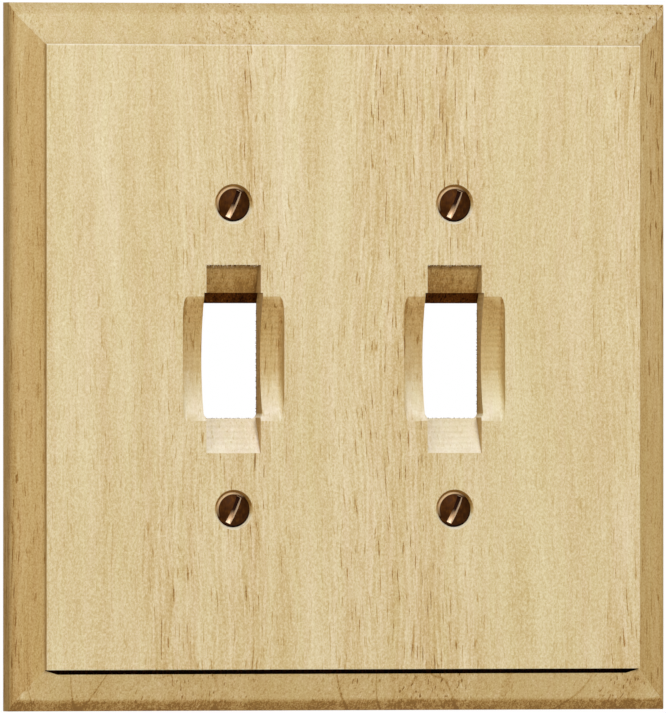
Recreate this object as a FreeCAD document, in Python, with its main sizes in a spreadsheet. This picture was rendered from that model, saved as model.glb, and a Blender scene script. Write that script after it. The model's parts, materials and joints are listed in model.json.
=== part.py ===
import FreeCAD, Part

import os
import re

import Sketcher

# A two-gang wall plate for toggle switches, routed from one board, with its four
# slotted oval-head screws and the washers that keep them in the plate.
#
# X runs across the plate, Z runs up it and the front faces -Y.  The origin is the
# middle of the plane that the back rim rests on.  Heights above that plane are
# called levels, and a level of 5 is at Y = -5.

DIMENSIONS = [
    ("plate_width", 136.5, "outline of the board, across"),
    ("plate_height", 139.7, "outline of the board, up"),
    ("plate_thickness", 7.94, "from the back rim to the raised panel"),
    ("edge_height", 3.3, "plain edge that is left all round"),
    ("roll_level", 4.95, "where the rolled edge turns into the sloping bevel"),
    ("side_border", 6.45, "bevelled border at the left and right"),
    ("side_roll", 1.3, "width of its rolled outer part"),
    ("end_border", 8.15, "bevelled border at the top and bottom"),
    ("end_roll", 2.6, "width of its rolled outer part"),
    ("step_height", 0.9, "step from the border up to the raised panel"),
    ("kerf_width", 0.9, "groove under the panel's lower edge"),
    ("kerf_depth", 1.7, "depth of that groove below the foot of the step"),
    ("rim_width", 10, "flat rim round the recess in the back"),
    ("rim_corner", 6, "corner radius of the recess"),
    ("web_thickness", 4.4, "wood that is left over the recess"),
    ("gang_spacing", 46.04, "from one switch to the next"),
    ("screw_spacing", 60.33, "from the upper screw to the lower one"),
    ("slot_width", 12.2, "opening for a toggle"),
    ("slot_top", 12.65, "its upper edge at the front"),
    ("slot_top_back", 10.6, "its upper edge at the back, lower because that wall slopes"),
    ("slot_bottom", 12.15, "its lower edge, below the middle"),
    ("slot_corner", 1.1, "its corner radius"),
    ("ramp_width", 11.3, "relief above and below the slot"),
    ("ramp_top", 18.15, "upper end of the relief"),
    ("ramp_top_depth", 1.2, "its depth at that end"),
    ("ramp_bottom", 19.0, "lower end of the relief, below the middle"),
    ("ramp_bottom_depth", 0.3, "its depth at that end"),
    ("ramp_depth", 3.3, "its depth where it meets the slot"),
    ("scoop_width", 21.1, "finger scoops at both sides of the slot, over all"),
    ("scoop_height", 24.7, "length of the scoops"),
    ("scoop_drop", 0.42, "how far their middle lies below the slot's axis"),
    ("scoop_depth", 1.9, "their depth in the middle"),
    ("scoop_corner", 1.0, "rounding between their floor and their wall"),
    ("hole_width", 4.2, "clearance hole for a screw"),
    ("sink_width", 7.9, "mouth of its countersink"),
    ("sink_angle", 82, "countersink angle"),
    ("seat_gap", 0.06, "play between a screw's head and its seat, along the axis"),
    ("head_width", 6.9, "screw head"),
    ("head_land", 0.15, "straight edge of the head"),
    ("dome_height", 0.9, "rounded top of the head"),
    ("neck_width", 3, "plain neck under the head"),
    ("thread_width", 3.505, "outside of the 6-32 thread"),
    ("thread_start", 2.5, "level where the thread starts"),
    ("screw_length", 19.05, "from the head's edge to the tip"),
    ("tip_chamfer", 0.6, "chamfer at the tip"),
    ("driver_slot_width", 1.05, "slot for the screwdriver"),
    ("driver_slot_depth", 1.25, "its depth below the top of the dome"),
    ("driver_slot_length", 5.7, "its length, which leaves the head's rim whole"),
    ("driver_slot_angle", 24, "its turn from upright"),
    ("washer_width", 8.7, "retaining washer"),
    ("washer_bore", 3.605, "its hole, just clear of the thread"),
    ("washer_thickness", 0.8, "its thickness"),
    ("washer_gap", 0.03, "play between the washer and the wood"),
]

SHEET = "Dimensions"
TINY = 1e-6  # points closer than this are the same point
CLEAR = 2  # how far a cutting outline runs past the wood, so that it cuts cleanly

doc = FreeCAD.newDocument("WallPlate")
sheet = doc.addObject("Spreadsheet::Sheet", SHEET)
for row, (alias, value, meaning) in enumerate(DIMENSIONS, start=1):
    sheet.set(f"A{row}", alias)
    sheet.set(f"B{row}", str(value))
    sheet.set(f"C{row}", meaning)
    sheet.setAlias(f"B{row}", alias)
doc.recompute()


def bound(formula):
    """Write the sheet's name before each alias, which is any word with an underscore."""
    return re.sub(r"[a-z]+_[a-z_]+", lambda word: f"{SHEET}.{word[0]}", formula)


def value(formula):
    """Number that a formula gives."""
    return float(sheet.evalExpression(bound(formula)))


def vector(corner):
    """First guess for a corner that is given by two formulas."""
    return FreeCAD.Vector(value(corner[0]), value(corner[1]), 0)


def origin_part(body, role):
    """Plane or axis of a body's own origin."""
    return next(part for part in body.Origin.OriginFeatures if part.Role == role)


def new_body(label):
    """Empty body whose label names its file."""
    body = doc.addObject("PartDesign::Body", "Body_" + label)
    body.Label = label
    return body


def new_sketch(body, name, role, **offset):
    """Sketch on one of the body's origin planes, moved by formulas for its own x, y and z."""
    sketch = body.newObject("Sketcher::SketchObject", name)
    sketch.AttachmentSupport = (origin_part(body, role), [""])
    sketch.MapMode = "FlatFace"
    for axis, formula in offset.items():
        sketch.setExpression("AttachmentOffset.Base." + axis, bound(formula))
    return sketch


def place_point(sketch, geometry, vertex, corner):
    """Tie a vertex of the sketch to two formulas, measured from the sketch's origin."""
    for kind, formula in zip(("DistanceX", "DistanceY"), corner):
        name = f"{kind}_{geometry}"
        constraint = Sketcher.Constraint(kind, -1, 1, geometry, vertex, value(formula))
        sketch.renameConstraint(sketch.addConstraint(constraint), name)
        sketch.setExpression("Constraints." + name, bound(formula))


def tangent_arc(start, end, beyond):
    """Arc from start to end that runs smoothly into the straight side from end to beyond."""
    along = beyond - end
    normal = FreeCAD.Vector(-along.y, along.x, 0).normalize()
    chord = start - end
    radius = chord.Length ** 2 / (2 * chord.dot(normal))
    return arc_about(end + normal * radius, start, end)


def dome_arc(start, end):
    """Arc from start to end about a point on the sketch's vertical axis, where it starts."""
    span = end - start
    return arc_about(start + FreeCAD.Vector(0, span.Length ** 2 / (2 * span.y), 0), start, end)


def arc_about(centre, start, end):
    """Shorter arc from start to end."""
    radius = (start - centre).Length
    halfway = (start + end - centre * 2).normalize() * radius
    return Part.Arc(start, centre + halfway, end)


def outline(sketch, corners, smooth=(), dome=None):
    """Closed outline through corners that are given by formulas.

    A side whose number is in smooth is an arc that runs smoothly into the side after
    it, and the side numbered dome is an arc about the vertical axis.
    """
    count = len(corners)
    points = [vector(corner) for corner in corners]
    sides = []
    for number, start in enumerate(points):
        end = points[(number + 1) % count]
        shape = Part.LineSegment(start, end)
        if number in smooth:
            shape = tangent_arc(start, end, points[(number + 2) % count])
        if number == dome:
            shape = dome_arc(start, end)
        index = sketch.addGeometry(shape, False)
        forward = sketch.getPoint(index, 1).distanceToPoint(start) < TINY
        sides.append((index, 1, 2) if forward else (index, 2, 1))
    for number, (index, start, end) in enumerate(sides):
        place_point(sketch, index, start, corners[number])
        after, after_start, _ = sides[(number + 1) % count]
        joint = "Tangent" if number in smooth else "Coincident"
        sketch.addConstraint(Sketcher.Constraint(joint, index, end, after, after_start))
    if dome is not None:
        sketch.addConstraint(Sketcher.Constraint("PointOnObject", sides[dome][0], 3, -2))


def rounded_rectangle(sketch, left, right, low, high, radius):
    """Rectangle with rounded corners, its four sides given by formulas."""
    corners = [
        (f"{left} + {radius}", low),
        (f"{right} - {radius}", low),
        (right, f"{low} + {radius}"),
        (right, f"{high} - {radius}"),
        (f"{right} - {radius}", high),
        (f"{left} + {radius}", high),
        (left, f"{high} - {radius}"),
        (left, f"{low} + {radius}"),
    ]
    outline(sketch, corners, smooth=(1, 3, 5, 7))


def circle(sketch, centre, width):
    """Circle whose centre and diameter are given by formulas."""
    shape = Part.Circle(vector(centre), FreeCAD.Vector(0, 0, 1), value(width) / 2)
    index = sketch.addGeometry(shape, False)
    place_point(sketch, index, 3, centre)
    name = f"Width_{index}"
    size = Sketcher.Constraint("Diameter", index, value(width))
    sketch.renameConstraint(sketch.addConstraint(size), name)
    sketch.setExpression("Constraints." + name, bound(width))


def pad(body, sketch, name, length):
    """Pad along the sketch's normal."""
    feature = body.newObject("PartDesign::Pad", name)
    feature.Profile = sketch
    feature.setExpression("Length", bound(length))


def cut(body, sketch, name, length=None):
    """Pocket to both sides of its sketch, right through unless a length is given."""
    feature = body.newObject("PartDesign::Pocket", name)
    feature.Profile = sketch
    feature.Midplane = True
    if length is None:
        feature.Type = "ThroughAll"
    else:
        feature.setExpression("Length", bound(length))
    return feature


def cut_borders(body):
    """Shape the four bevelled borders, whose straight cuts meet in mitres."""
    panel_foot = "(plate_thickness - step_height)"
    outside = f"-(plate_thickness + {CLEAR})"
    side_sketch = new_sketch(body, "SideBorderSection", "XY_Plane")
    for side in ("", "-"):
        edge = f"{side}(plate_width / 2)"
        out = f"{side}(plate_width / 2 + {CLEAR})"
        corners = [
            (edge, "-edge_height"),
            (f"{side}(plate_width / 2 - side_roll)", "-roll_level"),
            (f"{side}(plate_width / 2 - side_border)", f"-{panel_foot}"),
            (f"{side}(plate_width / 2 - side_border)", outside),
            (out, outside),
            (out, "-edge_height"),
        ]
        outline(side_sketch, corners, smooth=(0,))
    cut(body, side_sketch, "SideBorders")
    end_sketch = new_sketch(body, "EndBorderSection", "YZ_Plane")
    for side in ("", "-"):
        edge = f"{side}(plate_height / 2)"
        out = f"{side}(plate_height / 2 + {CLEAR})"
        corners = [
            ("-edge_height", edge),
            ("-roll_level", f"{side}(plate_height / 2 - end_roll)"),
            (f"-{panel_foot}", f"{side}(plate_height / 2 - end_border)"),
            (outside, f"{side}(plate_height / 2 - end_border)"),
            (outside, out),
            ("-edge_height", out),
        ]
        outline(end_sketch, corners, smooth=(0,))
    cut(body, end_sketch, "EndBorders")


def cut_kerf(body):
    """Groove that the cutter leaves under the raised panel's lower edge."""
    panel_foot = "(plate_thickness - step_height)"
    high = "-(plate_height / 2 - end_border)"
    low = "-(plate_height / 2 - end_border + kerf_width)"
    sketch = new_sketch(body, "KerfSection", "YZ_Plane")
    corners = [
        (f"-(plate_thickness + {CLEAR})", low),
        (f"-({panel_foot} - kerf_depth)", low),
        (f"-({panel_foot} - kerf_depth)", high),
        (f"-(plate_thickness + {CLEAR})", high),
    ]
    outline(sketch, corners)
    cut(body, sketch, "Kerf", "plate_width - 2 * side_border")


def cut_recess(body):
    """Recess in the back that clears the switches' straps."""
    sketch = new_sketch(body, "RecessOutline", "XZ_Plane")
    across = "(plate_width / 2 - rim_width)"
    upright = "(plate_height / 2 - rim_width)"
    rounded_rectangle(sketch, f"-{across}", across, f"-{upright}", upright, "rim_corner")
    cut(body, sketch, "Recess", "2 * (plate_thickness - web_thickness)")


def cut_slot(body):
    """Opening for the right-hand toggle, with its sloping upper wall."""
    sketch = new_sketch(body, "SlotOutline", "XZ_Plane", x="gang_spacing / 2")
    half = "slot_width / 2"
    rounded_rectangle(sketch, f"-{half}", half, "-slot_bottom", "slot_top_back", "slot_corner")
    slot = cut(body, sketch, "Slot")
    section = new_sketch(body, "SlotTopSection", "YZ_Plane", z="gang_spacing / 2")
    web_back = "-(plate_thickness - web_thickness)"
    front = f"-(plate_thickness + {CLEAR})"
    corners = [
        (front, "slot_top"),
        ("-(plate_thickness - ramp_depth)", "slot_top"),
        (web_back, "slot_top_back"),
        (web_back, "0"),
        (front, "0"),
    ]
    outline(section, corners)
    return [slot, cut(body, section, "SlotTop", "slot_width")]


def cut_ramps(body):
    """Relief above and below the right-hand slot, where the toggle tips over."""
    section = new_sketch(body, "RampSection", "YZ_Plane", z="gang_spacing / 2")
    front = f"-(plate_thickness + {CLEAR})"
    floor = "-(plate_thickness - ramp_depth)"
    corners = [
        (front, "ramp_top"),
        ("-(plate_thickness - ramp_top_depth)", "ramp_top"),
        (floor, "slot_top"),
        (floor, "-slot_bottom"),
        ("-(plate_thickness - ramp_bottom_depth)", "-ramp_bottom"),
        (front, "-ramp_bottom"),
    ]
    outline(section, corners)
    return [cut(body, section, "Ramps", "ramp_width")]


def cut_scoops(body):
    """Finger scoops at both sides of the right-hand slot, left by one wide round cutter."""
    radius = "(scoop_height ^ 2 / 4 + scoop_depth ^ 2) / (2 * scoop_depth)"
    section = new_sketch(
        body,
        "ScoopSection",
        "XY_Plane",
        x="gang_spacing / 2",
        y=f"-(plate_thickness - scoop_depth) - {radius}",
        z="-scoop_drop",
    )
    wall_end = f"{radius} - scoop_corner"
    corners = [
        ("-scoop_width / 2", "0"),
        ("-scoop_width / 2", wall_end),
        ("-scoop_width / 2 + scoop_corner", radius),
        ("scoop_width / 2 - scoop_corner", radius),
        ("scoop_width / 2", wall_end),
        ("scoop_width / 2", "0"),
    ]
    outline(section, corners, smooth=(1, 3))
    groove = body.newObject("PartDesign::Groove", "Scoops")
    groove.Profile = section
    groove.ReferenceAxis = (section, ["H_Axis"])
    groove.Angle = 360
    return [groove]


def drill_screw_holes(body):
    """Four countersunk clearance holes, drilled from the front."""
    sketch = new_sketch(body, "HoleCentres", "XZ_Plane", z="plate_thickness")
    for across in ("-", ""):
        for upright in ("-", ""):
            centre = (f"{across}gang_spacing / 2", f"{upright}screw_spacing / 2")
            circle(sketch, centre, "hole_width")
    doc.recompute()
    hole = body.newObject("PartDesign::Hole", "ScrewHoles")
    hole.Profile = sketch
    hole.ThreadType = "None"
    hole.DepthType = "ThroughAll"
    hole.HoleCutType = "Countersink"
    hole.HoleCutCustomValues = True
    hole.setExpression("Diameter", bound("hole_width"))
    hole.setExpression("HoleCutDiameter", bound("sink_width"))
    hole.setExpression("HoleCutCountersinkAngle", bound("sink_angle"))


def make_wood_plate():
    """One board: bevelled borders round a raised panel, two slots, four screw holes."""
    body = new_body("wood_plate")
    sketch = new_sketch(body, "BoardOutline", "XZ_Plane")
    corners = [
        ("-plate_width / 2", "-plate_height / 2"),
        ("plate_width / 2", "-plate_height / 2"),
        ("plate_width / 2", "plate_height / 2"),
        ("-plate_width / 2", "plate_height / 2"),
    ]
    outline(sketch, corners)
    pad(body, sketch, "Board", "plate_thickness")
    cut_borders(body)
    cut_kerf(body)
    cut_recess(body)
    right_hand = cut_slot(body) + cut_ramps(body) + cut_scoops(body)
    doc.recompute()
    left_hand = body.newObject("PartDesign::Mirrored", "LeftHandSwitch")
    left_hand.Originals = right_hand
    left_hand.MirrorPlane = (origin_part(body, "YZ_Plane"), [""])
    body.Tip = left_hand
    drill_screw_holes(body)
    return body


def place(body, across, upright, turn=None):
    """Move a body to a screw's axis, and turn it about that axis."""
    body.setExpression("Placement.Base.x", bound(across))
    body.setExpression("Placement.Base.z", bound(upright))
    if turn is not None:
        body.Placement.Rotation = FreeCAD.Rotation(FreeCAD.Vector(0, 1, 0), 1)
        body.setExpression("Placement.Rotation.Angle", bound(turn))


def make_screw(label, across, upright):
    """Oval-head machine screw with a slot, a plain neck and a 6-32 thread's full width."""
    body = new_body(label)
    # the head's edge sits where its width meets the countersink, less the play
    edge = (
        "-plate_thickness"
        " + (sink_width - head_width) / 2 / tan(sink_angle * 1 deg / 2) - seat_gap"
    )
    tip = f"{edge} + screw_length"
    cone = "(head_width - neck_width) / 2 / tan(sink_angle * 1 deg / 2)"
    profile = new_sketch(body, "Profile_" + label, "XY_Plane")
    corners = [
        ("0", f"{edge} - head_land - dome_height"),
        ("head_width / 2", f"{edge} - head_land"),
        ("head_width / 2", edge),
        ("neck_width / 2", f"{edge} + {cone}"),
        ("neck_width / 2", "-thread_start"),
        ("thread_width / 2", "-thread_start"),
        ("thread_width / 2", f"{tip} - tip_chamfer"),
        ("thread_width / 2 - tip_chamfer", tip),
        ("0", tip),
    ]
    outline(profile, corners, dome=0)
    turned = body.newObject("PartDesign::Revolution", "Turned_" + label)
    turned.Profile = profile
    turned.ReferenceAxis = (profile, ["V_Axis"])
    turned.Angle = 360
    slot = new_sketch(body, "SlotSection_" + label, "XY_Plane")
    top = f"{edge} - head_land - dome_height"
    corners = [
        ("-driver_slot_width / 2", f"{top} - {CLEAR}"),
        ("driver_slot_width / 2", f"{top} - {CLEAR}"),
        ("driver_slot_width / 2", f"{top} + driver_slot_depth"),
        ("-driver_slot_width / 2", f"{top} + driver_slot_depth"),
    ]
    outline(slot, corners)
    cut(body, slot, "Slot_" + label, "driver_slot_length")
    place(body, across, upright, "driver_slot_angle")
    return body


def make_washer(label, across, upright):
    """Thin washer that grips the screw behind the wood."""
    body = new_body(label)
    front = "plate_thickness - web_thickness - washer_gap"
    back_face = f"{front} - washer_thickness"
    sketch = new_sketch(body, "Rings_" + label, "XZ_Plane", z=back_face)
    circle(sketch, ("0", "0"), "washer_width")
    circle(sketch, ("0", "0"), "washer_bore")
    pad(body, sketch, "Disc_" + label, "washer_thickness")
    place(body, across, upright)
    return body


def make_fasteners():
    """Each screw with its washer, named as seen from the front."""
    bodies = []
    for height, upright in (("upper", "screw_spacing / 2"), ("lower", "-screw_spacing / 2")):
        for side, across in (("left", "-gang_spacing / 2"), ("right", "gang_spacing / 2")):
            bodies.append(make_screw(f"{height}_{side}_screw", across, upright))
            bodies.append(make_washer(f"{height}_{side}_washer", across, upright))
    return bodies


def check(bodies):
    """Stop if any object failed or any sub-part isn't one valid solid."""
    for item in doc.Objects:
        if {"Invalid", "Error"} & set(item.State):
            raise RuntimeError(f"{item.Label} failed: {item.State}")
    for body in bodies:
        shape = body.Shape
        if shape.isNull() or not shape.isValid() or len(shape.Solids) != 1:
            raise RuntimeError(f"{body.Label} isn't one valid solid")
        box = shape.optimalBoundingBox(False)
        size = f"{box.XLength:.2f} x {box.YLength:.2f} x {box.ZLength:.2f} mm"
        print(f"{body.Label}: {size}, {shape.Volume:.1f} mm3")


def main():
    bodies = [make_wood_plate()] + make_fasteners()
    doc.recompute()
    check(bodies)
    os.makedirs("parts", exist_ok=True)
    for body in bodies:
        body.Shape.exportStep(f"parts/{body.Label}.step")


main()
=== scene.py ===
import json
import math
import random

import bmesh
import bpy
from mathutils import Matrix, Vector


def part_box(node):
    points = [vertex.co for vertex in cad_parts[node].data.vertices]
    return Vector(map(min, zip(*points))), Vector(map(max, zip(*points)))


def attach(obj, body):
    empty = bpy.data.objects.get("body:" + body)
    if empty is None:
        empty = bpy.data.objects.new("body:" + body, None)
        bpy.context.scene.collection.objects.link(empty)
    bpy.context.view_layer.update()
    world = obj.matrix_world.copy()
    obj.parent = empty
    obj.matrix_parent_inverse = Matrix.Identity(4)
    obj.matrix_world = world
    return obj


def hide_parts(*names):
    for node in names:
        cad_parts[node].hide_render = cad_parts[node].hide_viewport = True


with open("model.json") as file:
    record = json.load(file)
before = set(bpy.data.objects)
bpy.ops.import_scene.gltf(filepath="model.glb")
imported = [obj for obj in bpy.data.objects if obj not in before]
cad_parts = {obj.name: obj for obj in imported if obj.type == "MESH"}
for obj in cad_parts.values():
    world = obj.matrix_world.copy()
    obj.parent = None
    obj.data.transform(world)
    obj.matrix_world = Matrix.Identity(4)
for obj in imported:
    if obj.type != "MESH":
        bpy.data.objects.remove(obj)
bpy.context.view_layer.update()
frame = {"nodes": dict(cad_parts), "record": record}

# A wooden wall plate for two toggle switches, seen from a little to the left on white.
# X runs across the plate, Z runs up it and its front faces -Y, all in metres.

MM = 0.001
MOUNT = frame["record"]["mounts"][0]["dims"]
SWITCH_X = MOUNT["spacing_x_mm"] / 2 * MM
SCREW_Z = MOUNT["spacing_y_mm"] / 2 * MM
THREAD_RADIUS = MOUNT["stud_r_mm"] * MM
PLATE_LOW, PLATE_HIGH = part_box("wood_plate")
FACE_Y = PLATE_LOW.y
HALF_WIDTH = PLATE_HIGH.x
HALF_HEIGHT = PLATE_HIGH.z
CORNERS = ("upper_left", "upper_right", "lower_left", "lower_right")
OPENINGS = {opening["name"]: opening["box_m"] for opening in frame["record"]["physics"]["openings"]}
SLOT_TOP = OPENINGS["right_toggle_slot"][1][2]
SLOT_BOTTOM = OPENINGS["right_toggle_slot"][0][2]

# the plate's milled shapes, as the CAD model has them
PANEL_HALF_WIDTH = HALF_WIDTH - 6.45 * MM
KERF_HIGH = -HALF_HEIGHT + 8.15 * MM
KERF_LOW = KERF_HIGH - 0.9 * MM
BEVEL_RISE = 2.09 * MM
BEVEL_RUN = 5.55 * MM
RAMP_HALF_WIDTH = 5.65 * MM
RAMP_TOP = 18.15 * MM
SLOT_HALF_WIDTH = 6.1 * MM
WEB_BACK_Y = FACE_Y + 4.4 * MM
CUTS_HALF_WIDTH = 11.5 * MM  # the slot, its reliefs and the finger scoops lie inside this
CUTS_HALF_HEIGHT = 20.5 * MM
SINK_RADIUS = 4.5 * MM  # the countersink lies inside this

# the screws' shapes, as the CAD model has them
THREAD_PITCH = 25.4 / 32 * MM
THREAD_START = -2.5 * MM
TIP_CHAMFER = 0.6 * MM
NECK_RADIUS = 1.5 * MM
DOME_RADIUS = 3.05 * MM
DOME_HEIGHT = 0.9 * MM
HEAD_LAND = 0.15 * MM
SINK_ANGLE = math.radians(82)
DRIVER_SLOT_WIDTH = 1.05 * MM
DRIVER_SLOT_DEPTH = 1.25 * MM
DRIVER_SLOT_LENGTH = 5.7 * MM
DRIVER_SLOT_TURN = math.radians(24)
WASHER_PLAY = 0.05 * MM

# how far to the left of each switch the grain is busiest
BUSY_OFFSET = 7.0 * MM

# sRGB colours of the bare wood, from the palest cut fibres to near-black brown; the palest tones also serve
# as painted light and the darkest as painted shadow
WOOD_TONES = (
    (0.00, (242, 233, 214)),
    (0.20, (227, 213, 180)),
    (0.35, (216, 198, 157)),
    (0.50, (202, 176, 124)),
    (0.65, (187, 154, 96)),
    (0.80, (154, 114, 52)),
    (0.92, (84, 44, 10)),
    (1.00, (34, 12, 2)),
)


# ---------------------------------------------------------------- small helpers


def linear(colour):
    """Linear RGBA from an sRGB colour of three numbers up to 255."""
    parts = []
    for part in colour:
        share = part / 255
        parts.append(share / 12.92 if share <= 0.04045 else ((share + 0.055) / 1.055) ** 2.4)
    return (*parts, 1.0)


class Nodes:
    """Short way to add nodes to one material or world."""

    def __init__(self, owner):
        owner.use_nodes = True
        self.tree = owner.node_tree
        self.tree.nodes.clear()

    def add(self, kind, inputs=None, **settings):
        made = self.tree.nodes.new("ShaderNode" + kind)
        for name, setting in settings.items():
            setattr(made, name, setting)
        for socket, source in (inputs or {}).items():
            if isinstance(source, bpy.types.NodeSocket):
                self.tree.links.new(source, made.inputs[socket])
            else:
                made.inputs[socket].default_value = source
        return made

    def maths(self, operation, *inputs, clamp=False):
        made = self.add("Math", dict(enumerate(inputs)), operation=operation, use_clamp=clamp)
        return made.outputs[0]

    def total(self, *parts):
        result = parts[0]
        for part in parts[1:]:
            result = self.maths("ADD", result, part)
        return result

    def spread(self, source, low, high, start=0.0, end=1.0):
        """Source, clamped between low and high, taken to the range from start to end."""
        inputs = {0: source, 1: low, 2: high, 3: start, 4: end}
        return self.add("MapRange", inputs, clamp=True).outputs[0]

    def noise(self, vector, detail=2.0, roughness=0.5, distortion=0.0):
        """Noise from -1 to 1 or so, with cells one unit of the vector across."""
        inputs = {
            "Vector": vector,
            "Scale": 1.0,
            "Detail": detail,
            "Roughness": roughness,
            "Distortion": distortion,
        }
        made = self.add("TexNoise", inputs)
        return self.maths("MULTIPLY_ADD", made.outputs[0], 4.0, -2.0)

    def scaled(self, vector, across, deep, up, shift=0.0):
        """Vector with cells of these sizes, in metres."""
        inputs = {
            "Vector": vector,
            "Scale": (1 / across, 1 / deep, 1 / up),
            "Location": (shift, shift, shift),
        }
        return self.add("Mapping", inputs).outputs[0]

    def ramp(self, source, stops):
        made = self.add("ValToRGB", {0: source})
        ramp = made.color_ramp
        while len(ramp.elements) < len(stops):
            ramp.elements.new(0.5)
        for element, (place, colour) in zip(ramp.elements, stops):
            element.position = place
            element.color = linear(colour)
        return made.outputs[0]

    def surface(self, colour, roughness, normal, **fixed):
        """Principled shader, whose fixed values are the same all over."""
        shader = self.add("BsdfPrincipled", {"Base Color": colour, "Roughness": roughness, "Normal": normal})
        for name, setting in fixed.items():
            shader.inputs[name.replace("_", " ")].default_value = setting
        output = self.add("OutputMaterial")
        self.tree.links.new(shader.outputs[0], output.inputs["Surface"])


def link(name, mesh):
    made = bpy.data.objects.new(name, mesh)
    bpy.context.scene.collection.objects.link(made)
    return made


def smooth(mesh, angle):
    """Shade smooth, except across edges that turn by more than angle degrees."""
    mesh.shade_smooth()
    mesh.set_sharp_from_angle(angle=math.radians(angle))


# ---------------------------------------------------------------- camera, light, floor


def make_camera():
    """Long lens from a little to the left, level with the plate."""
    azimuth = math.radians(-18.5)
    view_height = 141 * MM
    sensor = 36.0
    lens = 1600.0
    distance = lens / sensor * view_height
    data = bpy.data.cameras.new("camera")
    data.sensor_width = sensor
    data.lens = lens
    data.clip_start = 0.1
    data.clip_end = 100
    camera = bpy.data.objects.new("camera", data)
    bpy.context.scene.collection.objects.link(camera)
    away = Vector((math.sin(azimuth), -math.cos(azimuth), 0))
    right = Vector((math.cos(azimuth), math.sin(azimuth), 0))
    aim = right * 0.28 * MM + Vector((0, 0, 0.08 * MM))
    camera.location = aim + away * distance
    camera.rotation_euler = (-away).to_track_quat("-Z", "Y").to_euler()
    bpy.context.scene.camera = camera


def add_light(name, azimuth, elevation, distance, size, power, colour):
    """Square soft box that faces the plate from this side."""
    data = bpy.data.lights.new(name, "AREA")
    data.shape = "RECTANGLE"
    data.size, data.size_y = size
    data.energy = power
    data.color = colour
    lamp = bpy.data.objects.new(name, data)
    bpy.context.scene.collection.objects.link(lamp)
    turn, rise = math.radians(azimuth), math.radians(elevation)
    away = Vector((math.sin(turn) * math.cos(rise), -math.cos(turn) * math.cos(rise), math.sin(rise)))
    lamp.location = away * distance
    lamp.rotation_euler = (-away).to_track_quat("-Z", "Y").to_euler()


def make_lights():
    add_light("key", 9, 27, 1.4, (0.5, 0.35), 12.1, (0.93, 0.97, 1.0))
    add_light("left_card", -62, 28, 0.9, (0.5, 0.6), 2.05, (1.0, 0.93, 0.82))
    add_light("back_fill", 170, 35, 1.5, (1.0, 1.0), 12, (1.0, 0.97, 0.92))


def make_world():
    """White ground behind the plate, and a dim warm light from all round."""
    world = bpy.data.worlds.new("studio")
    bpy.context.scene.world = world
    nodes = Nodes(world)
    ground = nodes.add("Background", {"Color": (1, 1, 1, 1), "Strength": 1.0})
    room = nodes.add("Background", {"Color": (1.0, 0.82, 0.62, 1), "Strength": 0.22})
    seen = nodes.add("LightPath").outputs["Is Camera Ray"]
    mixed = nodes.add("MixShader", {0: seen, 1: room.outputs[0], 2: ground.outputs[0]})
    output = nodes.add("OutputWorld")
    nodes.tree.links.new(mixed.outputs[0], output.inputs["Surface"])


def make_floor():
    """Pale matt table top below the plate."""
    mesh = bpy.data.meshes.new("floor")
    shape = bmesh.new()
    bmesh.ops.create_grid(shape, x_segments=1, y_segments=1, size=1.4)
    shape.to_mesh(mesh)
    floor = link("floor", mesh)
    floor.location.z = -0.3
    material = bpy.data.materials.new("floor_paint")
    nodes = Nodes(material)
    place = nodes.add("TexCoord").outputs["Object"]
    speckle = nodes.noise(nodes.scaled(place, 0.004, 0.004, 0.004))
    tone = nodes.spread(speckle, -1, 1, 0.90, 0.94)
    colour = nodes.add("CombineColor", {0: tone, 1: tone, 2: nodes.maths("MULTIPLY", tone, 0.985)})
    bump = nodes.add("Bump", {"Strength": 0.1, "Distance": 0.0002, "Height": speckle})
    nodes.surface(colour.outputs[0], 0.7, bump.outputs[0])
    mesh.materials.append(material)


# ---------------------------------------------------------------- wood


def painted_shade_by_facing(nodes, facing, side, drop, overhang, lift, top_roll):
    """Painted shade and painted light: how much darker the wood gets with the way that it faces."""
    across, _, up = facing.outputs
    down = nodes.maths("MULTIPLY", up, -1.0)
    return nodes.total(
        nodes.spread(nodes.maths("ABSOLUTE", across), 0.0, 0.4, 0.0, side),
        nodes.spread(down, 0.0, 0.25, 0.0, drop),
        nodes.spread(down, 0.37, 0.48, 0.0, overhang),
        nodes.spread(up, 0.03, 0.27, 0.0, -lift),
        nodes.spread(up, 0.37, 0.48, 0.0, top_roll),
    )


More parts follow.
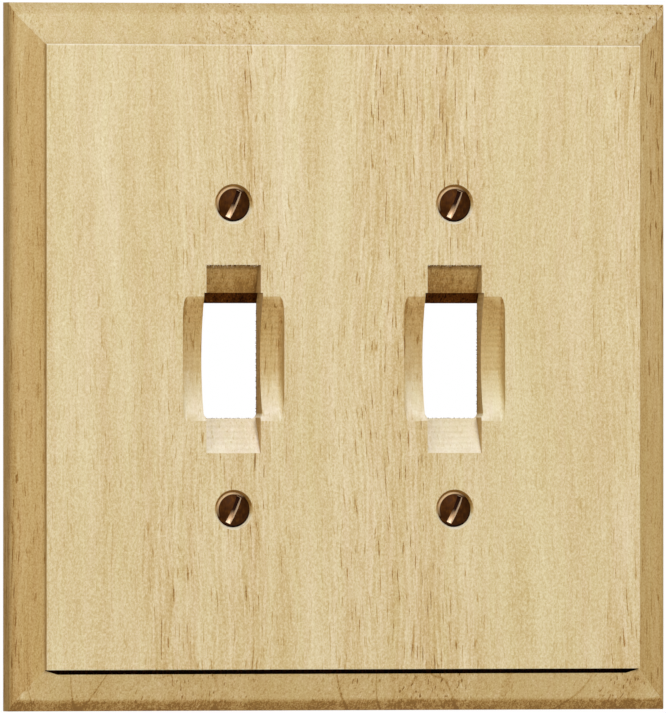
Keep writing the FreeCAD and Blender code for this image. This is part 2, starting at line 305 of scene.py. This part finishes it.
def make_wood(name, tone, side=0.0, drop=0.0, overhang=0.0, lift=0.0, top_roll=0.0, deep=0.0, speckle=0.0,
              rings=0.0, ripple=0.0, contrast=1.0, roughness=0.55, shine=0.25, darkest=0.84):
    """Bare wood with its grain along Z.

    tone is its place among WOOD_TONES. Painted shade makes it darker by side where the wood faces left
    or right, by drop where it slopes down, by overhang more where it faces straight
    down, by top_roll where it faces straight up and by deep at the bottom of the cuts,
    and a little darker towards the bottom of the plate. Painted light makes it paler by
    lift where it slopes up. speckle is how much open end grain shows, rings how dark the
    thin lines between growth rings are, at full strength where the wood faces down as a
    painted shade and at a third where it faces up, and ripple how deep the marks of the
    router bit are. shine is the shader's specular level, and darkest the
    darkest tone that the grain may reach.
    """
    material = bpy.data.materials.new(name)
    nodes = Nodes(material)
    place = nodes.add("TexCoord").outputs["Object"]
    sway = nodes.noise(nodes.scaled(place, 0.03, 0.03, 0.05))
    waver = nodes.noise(nodes.scaled(place, 0.008, 0.02, 0.02, 5.0), detail=1.0)
    shift = nodes.maths("ADD", nodes.maths("MULTIPLY", sway, 0.0016), nodes.maths("MULTIPLY", waver, 0.0003))
    warped = nodes.add("CombineXYZ", {0: shift, 1: 0.0, 2: 0.0}).outputs[0]
    place = nodes.add("VectorMath", {0: place, 1: warped}, operation="ADD").outputs[0]
    broad = nodes.noise(nodes.scaled(place, 0.0045, 0.0045, 0.055), detail=2.0)
    narrow = nodes.noise(nodes.scaled(place, 0.0006, 0.0006, 0.011, 3.0), detail=2.0, roughness=0.6)
    fine = nodes.noise(nodes.scaled(place, 0.00026, 0.00026, 0.00042, 7.0), detail=2.0, roughness=0.7)
    pore_noise = nodes.noise(nodes.scaled(place, 0.0004, 0.0004, 0.0045, 11.0), detail=0.0)
    pores = nodes.spread(pore_noise, 0.78, 1.05)
    dash_noise = nodes.noise(nodes.scaled(place, 0.0007, 0.0007, 0.022, 31.0), detail=1.0)
    dashes = nodes.spread(dash_noise, 0.75, 1.25)
    across, into, along = nodes.add("SeparateXYZ", {0: place}).outputs
    beside = nodes.maths("ADD", across, SWITCH_X + BUSY_OFFSET)
    stripe = nodes.maths("COSINE", nodes.maths("MULTIPLY", beside, math.pi / SWITCH_X))
    patch = nodes.noise(nodes.scaled(place, 0.011, 0.011, 0.10, 51.0), detail=1.0)
    figure = nodes.maths("MULTIPLY_ADD", patch, 0.65, nodes.maths("MULTIPLY", stripe, 0.45))
    busy = nodes.spread(figure, -0.4, 0.8, 0.35 * contrast, 1.5 * contrast)
    facing = nodes.add("SeparateXYZ", {0: nodes.add("NewGeometry").outputs["Normal"]})
    level = nodes.total(
        tone,
        nodes.maths("MULTIPLY", broad, 0.08 * contrast),
        nodes.maths("MULTIPLY", fine, 0.18 * contrast),
        nodes.maths("MULTIPLY", nodes.spread(figure, 0.1, 1.3), 0.10 * contrast),
        nodes.maths("MULTIPLY", nodes.maths("MULTIPLY", narrow, 0.12), busy),
        nodes.maths("MULTIPLY", nodes.maths("MULTIPLY", pores, 0.30), busy),
        nodes.maths("MULTIPLY", nodes.maths("MULTIPLY", dashes, 0.14), busy),
        -0.02 * contrast,
        painted_shade_by_facing(nodes, facing, side, drop, overhang, lift, top_roll),
        # painted shade: darker towards the bottom of the cuts
        nodes.spread(into, FACE_Y, WEB_BACK_Y, -0.7 * deep, deep),
        # painted shade: a little darker towards the bottom of the plate and paler towards its top
        nodes.spread(along, -HALF_HEIGHT, HALF_HEIGHT, 0.03, -0.03),
    )
    heights = [
        nodes.maths("MULTIPLY", narrow, -0.5),
        nodes.maths("MULTIPLY", fine, -0.6),
        nodes.maths("MULTIPLY", pores, -1.2),
    ]
    if speckle:
        dots = nodes.noise(nodes.scaled(place, 0.0004, 0.0004, 0.0004, 17.0), detail=3.0, roughness=0.7)
        level = nodes.maths("ADD", level, nodes.maths("MULTIPLY", dots, speckle))
    if rings:
        curve = nodes.noise(nodes.scaled(place, 0.010, 0.03, 0.028, 43.0), detail=0.0)
        line = nodes.spread(nodes.maths("ABSOLUTE", curve), 0.01, 0.05, 1.0, 0.0)
        # growth-ring lines drawn strongest where the wood faces down: real grain with painted shade
        shown = nodes.spread(facing.outputs[2], -0.1, 0.1, rings, 0.3 * rings)
        level = nodes.maths("ADD", level, nodes.maths("MULTIPLY", line, shown))
    if ripple:
        wander = nodes.maths("MULTIPLY", sway, 3.0)
        chatter = nodes.maths("MULTIPLY_ADD", along, math.tau / (1.1 * MM), wander)
        heights.append(nodes.maths("MULTIPLY", nodes.maths("SINE", chatter), ripple))
    colour = nodes.ramp(nodes.maths("MINIMUM", level, darkest), WOOD_TONES)
    hue = nodes.total(
        nodes.maths("MULTIPLY", figure, 0.8),
        nodes.noise(nodes.scaled(place, 0.0014, 0.0014, 0.02, 29.0)),
    )
    pink = nodes.spread(hue, -1.1, 1.1, 0.0, 1.0)
    tint = nodes.add(
        "Mix",
        {0: pink, 6: (0.992, 1.012, 0.965, 1), 7: (1.0, 0.975, 0.995, 1)},
        data_type="RGBA",
    ).outputs[2]
    colour = nodes.add(
        "Mix", {0: 1.0, 6: colour, 7: tint}, data_type="RGBA", blend_type="MULTIPLY"
    ).outputs[2]
    bump = nodes.add("Bump", {"Strength": 0.35, "Distance": 0.00006, "Height": nodes.total(*heights)})
    gloss = nodes.maths("MULTIPLY_ADD", narrow, 0.04, roughness)
    nodes.surface(colour, gloss, bump.outputs[0], Specular_IOR_Level=shine)
    return material


# ---------------------------------------------------------------- plate


def plate_materials():
    return {
        "sanded": make_wood("wood_sanded_face", 0.37),
        # painted shade: side borders darker where they face left or right
        "side_border": make_wood(
            "wood_side_border", 0.41, side=0.20, speckle=0.02, rings=0.05, contrast=0.75,
        ),
        # painted shade: end borders darker where they slope or face down and a little darker where they face
        # up
        "end_border": make_wood(
            "wood_end_border", 0.40, drop=0.12, overhang=0.24, lift=-0.04, top_roll=0.05,
            speckle=0.06, rings=0.16, contrast=0.85,
        ),
        # routed wood: a darker base tone than the sanded face, partly milled wood and partly painted shade of
        # the recess; painted shade where it faces sideways or down and deeper in, painted light where it
        # slopes up
        "recess": make_wood(
            "wood_routed_recess", 0.53, side=0.10, drop=0.21, overhang=0.15, lift=0.42, deep=0.09,
            speckle=0.03, ripple=1.5, contrast=0.55,
        ),
        # near-black painted shadow for the groove under the panel and the slot's top wall
        "painted_shadow": make_wood("wood_painted_shadow", 0.96, contrast=0.3, roughness=0.9, shine=0.02, darkest=1.0),
        # pale eased edges: a painted highlight along the panel's edges
        "arris_highlight": make_wood("wood_edge_highlight", 0.12, contrast=0.8),
        "back": make_wood("wood_sawn_back", 0.42, contrast=1.4, roughness=0.7, speckle=0.05),
    }


def plate_zone(middle, normal):
    """Name of the material that a face of the plate gets."""
    across = abs(abs(middle.x) - SWITCH_X)
    if middle.y > -0.1 * MM or (normal.y > 0.9 and middle.y > -4 * MM):
        return "back"
    if normal.y < -0.999 and middle.y < FACE_Y + 0.02 * MM:
        return "sanded"
    if across < CUTS_HALF_WIDTH and abs(middle.z) < CUTS_HALF_HEIGHT:
        # the slot's top wall, facing down, gets near-black painted shadow
        top_wall = normal.z < -0.42 and across < 7 * MM and middle.y > FACE_Y + 3.4 * MM
        return "painted_shadow" if top_wall else "recess"
    if math.hypot(across, abs(middle.z) - SCREW_Z) < SINK_RADIUS:
        return "recess"
    # narrow eased faces along the panel's edges get the pale painted highlight
    if middle.y < FACE_Y + 0.32 * MM:
        return "arris_highlight"
    # the groove under the panel gets near-black painted shadow
    beside_kerf = KERF_LOW - 0.3 * MM < middle.z < KERF_HIGH + 0.3 * MM
    if beside_kerf and FACE_Y + 1.05 * MM < middle.y and (abs(normal.z) > 0.8 or normal.y < -0.95):
        return "painted_shadow"
    return "side_border" if abs(normal.x) > abs(normal.z) else "end_border"


def taper_kerf(shape):
    """Run the groove under the panel out to nothing at both ends."""
    for side in (-1, 1):
        bmesh.ops.bisect_plane(
            shape,
            geom=shape.verts[:] + shape.edges[:] + shape.faces[:],
            dist=0.001 * MM,
            plane_co=(side * (PANEL_HALF_WIDTH - 2.6 * MM), 0, 0),
            plane_no=(1, 0, 0),
        )
    for vert in shape.verts:
        at_end = abs(abs(vert.co.x) - PANEL_HALF_WIDTH) < 0.05 * MM
        if at_end and abs(vert.co.z - KERF_LOW) < 0.05 * MM and vert.co.y > FACE_Y + 0.5 * MM:
            rise = KERF_HIGH - 0.12 * MM - vert.co.z
            vert.co += Vector((0, -rise * (BEVEL_RISE / BEVEL_RUN), rise))


def add_fibre(shape, root, tip, bend, radius, material):
    """One torn fibre: a three-sided spike that bends sideways on its way to the tip."""
    path = tip - root
    side = path.cross(Vector((0, 1, 0)))
    side = side.normalized() if side.length > 0 else Vector((1, 0, 0))
    back = path.cross(side).normalized()
    rings = []
    for share, width in ((0.0, 1.0), (0.5, 0.7), (0.85, 0.35)):
        centre = root + path * share + side * bend * share * share
        ring = []
        for step in range(3):
            angle = step * math.tau / 3
            outward = side * math.cos(angle) + back * math.sin(angle)
            ring.append(shape.verts.new(centre + outward * radius * width))
        rings.append(ring)
    end = shape.verts.new(tip + side * bend)
    faces = [shape.faces.new(reversed(rings[0]))]
    for low, high in zip(rings, rings[1:]):
        for step in range(3):
            after = (step + 1) % 3
            faces.append(shape.faces.new((low[step], low[after], high[after], high[step])))
    for step in range(3):
        faces.append(shape.faces.new((rings[-1][step], rings[-1][(step + 1) % 3], end)))
    for face in faces:
        face.material_index = material


def tear_edge(shape, chance, start, end, out, material, gaps, lengths, radii):
    """Row of torn fibres from start to end that lean out of the edge and a little along it."""
    edge = end - start
    place = 0.0
    while place < edge.length:
        root = start + edge.normalized() * place - out * 0.04 * MM
        tip = root + out * chance.uniform(*lengths) * MM + edge.normalized() * chance.uniform(-0.2, 0.2) * MM
        bend = chance.uniform(-0.12, 0.12) * MM
        add_fibre(shape, root, tip, bend, chance.uniform(*radii) * MM, chance.choice(material))
        place += chance.uniform(*gaps) * MM


def tear_fibres(shape, pale, dark):
    """Loose fibres along the edges where the router bit leaves the wood."""
    # pale fibres take the edge wood with its painted highlight, dark ones the wood of painted shadow
    chance = random.Random(11)
    down = Vector((0, 0.25, -1)).normalized()
    for switch in (-SWITCH_X, SWITCH_X):
        left, right = switch - SLOT_HALF_WIDTH, switch + SLOT_HALF_WIDTH
        for depth, reach in ((0.05, 0.35), (0.35, 0.7)):
            start = Vector((switch - RAMP_HALF_WIDTH, FACE_Y + depth * MM, RAMP_TOP))
            end = start + Vector((2 * RAMP_HALF_WIDTH, 0, 0))
            mix = (pale, dark, dark)
            tear_edge(shape, chance, start, end, down, mix, (0.12, 0.45), (0.1, reach), (0.04, 0.08))
        low, high = SLOT_BOTTOM + 0.5 * MM, SLOT_TOP - 0.8 * MM
        start = Vector((right, WEB_BACK_Y - 0.12 * MM, low))
        end = Vector((right, WEB_BACK_Y - 0.12 * MM, high))
        inward = Vector((-1, 0, 0))
        tear_edge(shape, chance, start, end, inward, (dark,), (0.15, 0.5), (0.08, 0.26), (0.09, 0.17))
        edge_z = SLOT_BOTTOM - 0.35 * MM
        start = Vector((left + 0.9 * MM, WEB_BACK_Y - 0.1 * MM, edge_z))
        end = Vector((right - 0.9 * MM, WEB_BACK_Y - 0.1 * MM, edge_z))
        upward = Vector((0, 0, 1))
        tear_edge(shape, chance, start, end, upward, (dark,), (0.1, 0.35), (0.05, 0.2), (0.07, 0.13))


def panel_top_edges(shape):
    """Edges along the top of the raised panel, which sanding has eased the most."""
    found = []
    for edge in shape.edges:
        ends = [vert.co for vert in edge.verts]
        if all(abs(end.y - FACE_Y) < 0.02 * MM and abs(end.z + KERF_HIGH) < 0.02 * MM for end in ends):
            found.append(edge)
    return found


def sharp_edges(shape, angle):
    """Edges between two faces that turn by more than angle degrees."""
    return [
        edge for edge in shape.edges
        if len(edge.link_faces) == 2 and edge.calc_face_angle(0) > math.radians(angle)
    ]


def ease_edges(shape, edges, offset):
    bmesh.ops.bevel(
        shape,
        geom=edges,
        offset=offset,
        offset_type="OFFSET",
        segments=2,
        profile=0.5,
        affect="EDGES",
        clamp_overlap=True,
    )


def make_plate():
    """Copy of the CAD plate with its arrises eased and its routed edges torn."""
    mesh = frame["nodes"]["wood_plate"].data.copy()
    mesh.name = "plate_visual"
    mesh.materials.clear()
    if "custom_normal" in mesh.attributes:
        mesh.attributes.remove(mesh.attributes["custom_normal"])
    shape = bmesh.new()
    shape.from_mesh(mesh)
    bmesh.ops.remove_doubles(shape, verts=shape.verts, dist=0.002 * MM)
    bmesh.ops.dissolve_limit(shape, angle_limit=math.radians(0.3), verts=shape.verts, edges=shape.edges)
    taper_kerf(shape)
    ease_edges(shape, panel_top_edges(shape), 0.3 * MM)
    shape.normal_update()
    ease_edges(shape, sharp_edges(shape, 35), 0.11 * MM)
    shape.normal_update()
    materials = plate_materials()
    order = list(materials)
    for face in shape.faces:
        face.material_index = order.index(plate_zone(face.calc_center_median(), face.normal))
    tear_fibres(shape, order.index("arris_highlight"), order.index("painted_shadow"))
    bmesh.ops.triangulate(shape, faces=shape.faces)
    shape.to_mesh(mesh)
    shape.free()
    for material in materials.values():
        mesh.materials.append(material)
    smooth(mesh, 35)
    plate = link("plate_wood", mesh)
    weighted = plate.modifiers.new("weighted_normals", "WEIGHTED_NORMAL")
    weighted.keep_sharp = True
    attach(plate, "plate")
    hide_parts("wood_plate")


# ---------------------------------------------------------------- screws and washers


def make_bronze():
    """Brass with a dark patina, a little paler where it faces the front, with a painted highlight in pale
    brass along the upper left of the head's rim and painted shade along its lower right.
    """
    material = bpy.data.materials.new("bronze_patina")
    nodes = Nodes(material)
    place = nodes.add("TexCoord").outputs["Object"]
    mottle = nodes.noise(nodes.scaled(place, 0.0012, 0.0012, 0.0012), detail=3.0)
    scratch = nodes.noise(nodes.scaled(place, 0.0002, 0.002, 0.002, 4.0), detail=1.0)
    facing = nodes.add("NewGeometry").outputs["Normal"]
    across, forward, up = nodes.add("SeparateXYZ", {0: facing}).outputs
    leftward = nodes.maths("MULTIPLY", across, -0.6)
    upper_left = nodes.maths("MULTIPLY_ADD", up, 0.8, leftward)
    beside, _, above = nodes.add("SeparateXYZ", {0: place}).outputs
    squares = nodes.maths("POWER", beside, 2.0), nodes.maths("POWER", above, 2.0)
    reach = nodes.maths("SQRT", nodes.total(*squares))
    rim = nodes.spread(reach, DOME_RADIUS - 0.02 * MM, DOME_RADIUS + 0.06 * MM)
    # painted highlight: pale brass along the rim where it faces up and to the left
    rim_highlight = nodes.maths("MULTIPLY", rim, nodes.spread(upper_left, 0.1, 0.5))
    # painted shade: darker along the rim where it faces down and to the right
    rim_shade = nodes.maths("MULTIPLY", rim, nodes.spread(upper_left, -0.4, 0.0, -0.3, 0.0))
    level = nodes.total(
        nodes.maths("MULTIPLY", mottle, 0.2),
        nodes.maths("MULTIPLY", scratch, 0.1),
        nodes.spread(nodes.maths("MULTIPLY", forward, -1.0), 0.5, 1.0, 0.0, 0.08),
        rim_shade,
        0.32,
    )
    patina = nodes.ramp(level, ((0.0, (22, 6, 0)), (0.45, (72, 37, 4)), (1.0, (138, 88, 24))))
    colour = nodes.add("Mix", {0: rim_highlight, 6: patina, 7: linear((228, 196, 152))}, data_type="RGBA").outputs[2]
    height = nodes.maths("ADD", mottle, nodes.maths("MULTIPLY", scratch, 0.6))
    bump = nodes.add("Bump", {"Strength": 0.3, "Distance": 0.00004, "Height": height})
    roughness = nodes.maths("MULTIPLY_ADD", mottle, 0.06, 0.55)
    nodes.surface(colour, roughness, bump.outputs[0], Metallic=0.6, Specular_IOR_Level=0.15)
    return material


def make_bared_and_highlit_brass():
    """Pale brass on the slot's walls, partly rubbed bare by screwdrivers and partly a painted highlight, and
    a painted highlight on the slot's floor towards its lower end.
    """
    material = bpy.data.materials.new("slot_brass_bared_and_highlit")
    nodes = Nodes(material)
    place = nodes.add("TexCoord").outputs["Object"]
    rub = nodes.noise(nodes.scaled(place, 0.0003, 0.0008, 0.0012, 2.0), detail=2.0)
    along = nodes.add("SeparateXYZ", {0: place}).outputs[2]
    facing = nodes.add("SeparateXYZ", {0: nodes.add("NewGeometry").outputs["Normal"]})
    # slot walls pale: brass rubbed bare, with a painted highlight on it
    wall = nodes.spread(nodes.maths("ABSOLUTE", facing.outputs[1]), 0.3, 0.7, 1.0, 0.0)
    # painted highlight on the slot floor towards its lower end
    low_end_highlight = nodes.spread(along, -2.4 * MM, 0.2 * MM, 1.0, 0.0)
    level = nodes.total(nodes.maths("MAXIMUM", wall, low_end_highlight), nodes.maths("MULTIPLY", rub, 0.12), -0.06)
    colour = nodes.ramp(level, ((0.0, (40, 16, 4)), (0.6, (196, 162, 124)), (1.0, (255, 236, 208))))
    bump = nodes.add("Bump", {"Strength": 0.3, "Distance": 0.00003, "Height": rub})
    roughness = nodes.maths("MULTIPLY_ADD", rub, 0.05, 0.5)
    nodes.surface(colour, roughness, bump.outputs[0], Metallic=0.3, Specular_IOR_Level=0.1)
    return material


def make_fibre():
    """Red-brown vulcanised fibre."""
    material = bpy.data.materials.new("vulcanised_fibre")
    nodes = Nodes(material)
    place = nodes.add("TexCoord").outputs["Object"]
    fibres = nodes.noise(nodes.scaled(place, 0.0003, 0.0003, 0.0012), detail=3.0)
    stain = nodes.noise(nodes.scaled(place, 0.003, 0.003, 0.003, 9.0), detail=2.0)
    level = nodes.total(nodes.maths("MULTIPLY", fibres, 0.22), nodes.maths("MULTIPLY", stain, 0.15), 0.5)
    colour = nodes.ramp(level, ((0.0, (86, 34, 24)), (1.0, (140, 70, 50))))
    bump = nodes.add("Bump", {"Strength": 0.3, "Distance": 0.00004, "Height": fibres})
    roughness = nodes.maths("MULTIPLY_ADD", stain, 0.06, 0.62)
    nodes.surface(colour, roughness, bump.outputs[0])
    return material


def turned(shape, profile, steps):
    """Closed solid that is turned about Y from a profile of (radius, y), from top to tip."""
    top = shape.verts.new((0, profile[0][1], 0))
    rings = []
    for radius, y in profile[1:]:
        ring = []
        for step in range(steps):
            angle = step * math.tau / steps
            ring.append(shape.verts.new((radius * math.sin(angle), y, radius * math.cos(angle))))
        rings.append(ring)
    for step in range(steps):
        after = (step + 1) % steps
        shape.faces.new((top, rings[0][step], rings[0][after]))
        for high, low in zip(rings, rings[1:]):
            shape.faces.new((high[step], low[step], low[after], high[after]))
    shape.faces.new(rings[-1])
    bmesh.ops.recalc_face_normals(shape, faces=shape.faces)


def head_profile(top, head_radius):
    """Section of the oval head: a dome, a short straight edge and the cone to the neck."""
    rise = head_radius ** 2 / (2 * DOME_HEIGHT) + DOME_HEIGHT / 2
    profile = [(0.0, top)]
    steps = 14
    for step in range(1, steps + 1):
        radius = DOME_RADIUS * step / steps
        profile.append((radius, top + rise - math.sqrt(rise ** 2 - radius ** 2)))
    edge = top + DOME_HEIGHT + HEAD_LAND
    profile.append((head_radius - 0.04 * MM, top + DOME_HEIGHT + 0.02 * MM))
    profile.append((head_radius, top + DOME_HEIGHT + 0.06 * MM))
    cone = (head_radius - NECK_RADIUS) / math.tan(SINK_ANGLE / 2)
    profile.append((head_radius, edge))
    profile.append((NECK_RADIUS, edge + cone))
    profile.append((NECK_RADIUS, THREAD_START + 0.1 * MM))
    return profile


def thread_mesh(start, end):
    """Right-hand thread about Y: rows of points that climb with the pitch, cut off at both ends."""
    around, rows_per_turn = 40, 6
    crest, root = THREAD_RADIUS, THREAD_RADIUS - 0.6134 * THREAD_PITCH
    form = (root, root, (root + crest) / 2, crest, crest, (root + crest) / 2)
    turns = math.ceil((end - start) / THREAD_PITCH) + 2
    count = turns * rows_per_turn
    shape = bmesh.new()
    points = []
    for row in range(count + 1):
        for step in range(around):
            angle = -step * math.tau / around
            y = start + THREAD_PITCH * (row / rows_per_turn + step / around - 1)
            y = min(max(y, start), end)
            limit = min(root + (y - start) * 1.6, crest - TIP_CHAMFER + (end - y))
            radius = min(form[row % rows_per_turn], limit)
            points.append(shape.verts.new((radius * math.sin(angle), y, radius * math.cos(angle))))

    def point(row, step):
        """Point after going once round is the one that starts the next turn."""
        if step == around:
            row, step = row + rows_per_turn, 0
        return points[row * around + step]

    for row in range(count):
        for step in range(around):
            if step < around - 1 or row + 1 + rows_per_turn <= count:
                here, after = point(row, step), point(row, step + 1)
                shape.faces.new((here, after, point(row + 1, step + 1), point(row + 1, step)))
    bmesh.ops.remove_doubles(shape, verts=shape.verts, dist=0.001 * MM)
    bmesh.ops.dissolve_degenerate(shape, dist=0.001 * MM, edges=shape.edges)
    bmesh.ops.holes_fill(shape, edges=[edge for edge in shape.edges if edge.is_boundary], sides=0)
    bmesh.ops.recalc_face_normals(shape, faces=shape.faces)
    loose = [vert for vert in shape.verts if not vert.link_faces]
    bmesh.ops.delete(shape, geom=loose, context="VERTS")
    mesh = bpy.data.meshes.new("thread")
    shape.to_mesh(mesh)
    shape.free()
    return mesh


def driver_slot_cutter(top, bronze, bared_and_highlit):
    """Block that takes the screwdriver slot out of a head whose top is at this Y."""
    shape = bmesh.new()
    bmesh.ops.create_cube(shape, size=1.0)
    for vert in shape.verts:
        vert.co.x *= DRIVER_SLOT_WIDTH
        vert.co.y = top - 2 * MM if vert.co.y < 0 else top + DRIVER_SLOT_DEPTH
        vert.co.z *= DRIVER_SLOT_LENGTH
        across, up = vert.co.x, vert.co.z
        vert.co.x = across * math.cos(DRIVER_SLOT_TURN) + up * math.sin(DRIVER_SLOT_TURN)
        vert.co.z = up * math.cos(DRIVER_SLOT_TURN) - across * math.sin(DRIVER_SLOT_TURN)
    mesh = bpy.data.meshes.new("driver_slot")
    shape.to_mesh(mesh)
    shape.free()
    mesh.materials.append(bronze)
    mesh.materials.append(bared_and_highlit)
    for face in mesh.polygons:
        face.material_index = 1
    return link("driver_slot", mesh)


def cut_by(target, cutter):
    """New shape that is the target with the cutter taken out of it. The cutter is removed."""
    cut = target.modifiers.new("slot", "BOOLEAN")
    cut.object = cutter
    cut.solver = "EXACT"
    bpy.context.view_layer.update()
    shape = bmesh.new()
    shape.from_object(target, bpy.context.evaluated_depsgraph_get())
    target.modifiers.clear()
    bpy.data.objects.remove(cutter)
    return shape


def make_screws(bronze, bared_and_highlit):
    """Slotted oval-head screws with their threads."""
    thread = thread_mesh(THREAD_START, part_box(CORNERS[0] + "_screw")[1].y)
    for corner in CORNERS:
        name = corner + "_screw"
        low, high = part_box(name)
        middle = (low + high) / 2
        head_radius = (high.x - low.x) / 2
        shape = bmesh.new()
        turned(shape, head_profile(low.y, head_radius), 96)
        mesh = bpy.data.meshes.new(name + "_head")
        shape.to_mesh(mesh)
        shape.free()
        mesh.materials.append(bronze)
        mesh.materials.append(bared_and_highlit)
        head = link(name + "_head", mesh)
        shape = cut_by(head, driver_slot_cutter(low.y, bronze, bared_and_highlit))
        ease_edges(shape, sharp_edges(shape, 38), 0.05 * MM)
        shape.from_mesh(thread)
        shape.to_mesh(mesh)
        shape.free()
        smooth(mesh, 30)
        head.location = (middle.x, 0, middle.z)
        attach(head, name)
        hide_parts(name)


def washer_mesh(name, outer, half, chance):
    """Disc with a rounded edge and a slightly ragged hole. half is half its thickness."""
    inner = THREAD_RADIUS + WASHER_PLAY
    ease = 0.12 * MM
    section = (
        (inner, -half + ease / 2),
        (inner + ease / 2, -half),
        (outer - ease, -half),
        (outer, -half + ease),
        (outer, half - ease),
        (outer - ease, half),
        (inner + ease / 2, half),
        (inner, half - ease / 2),
    )
    shape = bmesh.new()
    steps = 72
    rings = []
    for step in range(steps):
        angle = step * math.tau / steps
        ragged = chance.uniform(0, 0.08) * MM
        ring = []
        for radius, y in section:
            reach = radius + (ragged if radius < inner + ease else 0)
            ring.append(shape.verts.new((reach * math.sin(angle), y, reach * math.cos(angle))))
        rings.append(ring)
    for step in range(steps):
        here, after = rings[step], rings[(step + 1) % steps]
        for place in range(len(section)):
            beyond = (place + 1) % len(section)
            shape.faces.new((here[place], here[beyond], after[beyond], after[place]))
    bmesh.ops.recalc_face_normals(shape, faces=shape.faces)
    mesh = bpy.data.meshes.new(name)
    shape.to_mesh(mesh)
    shape.free()
    return mesh


def make_washers(fibre):
    """Fibre washers behind the wood, one on each screw."""
    chance = random.Random(5)
    for corner in CORNERS:
        name = corner + "_washer"
        low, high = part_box(name)
        outer = (high.x - low.x) / 2
        half = (high.y - low.y) / 2
        mesh = washer_mesh(name + "_disc", outer, half, chance)
        mesh.materials.append(fibre)
        smooth(mesh, 30)
        disc = link(name + "_disc", mesh)
        disc.location = (low + high) / 2
        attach(disc, name)
        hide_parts(name)


# ---------------------------------------------------------------- scene


def main():
    scene = bpy.context.scene
    scene.view_settings.view_transform = "Standard"
    make_camera()
    make_lights()
    make_world()
    make_floor()
    make_plate()
    make_screws(make_bronze(), make_bared_and_highlit_brass())
    make_washers(make_fibre())


main()
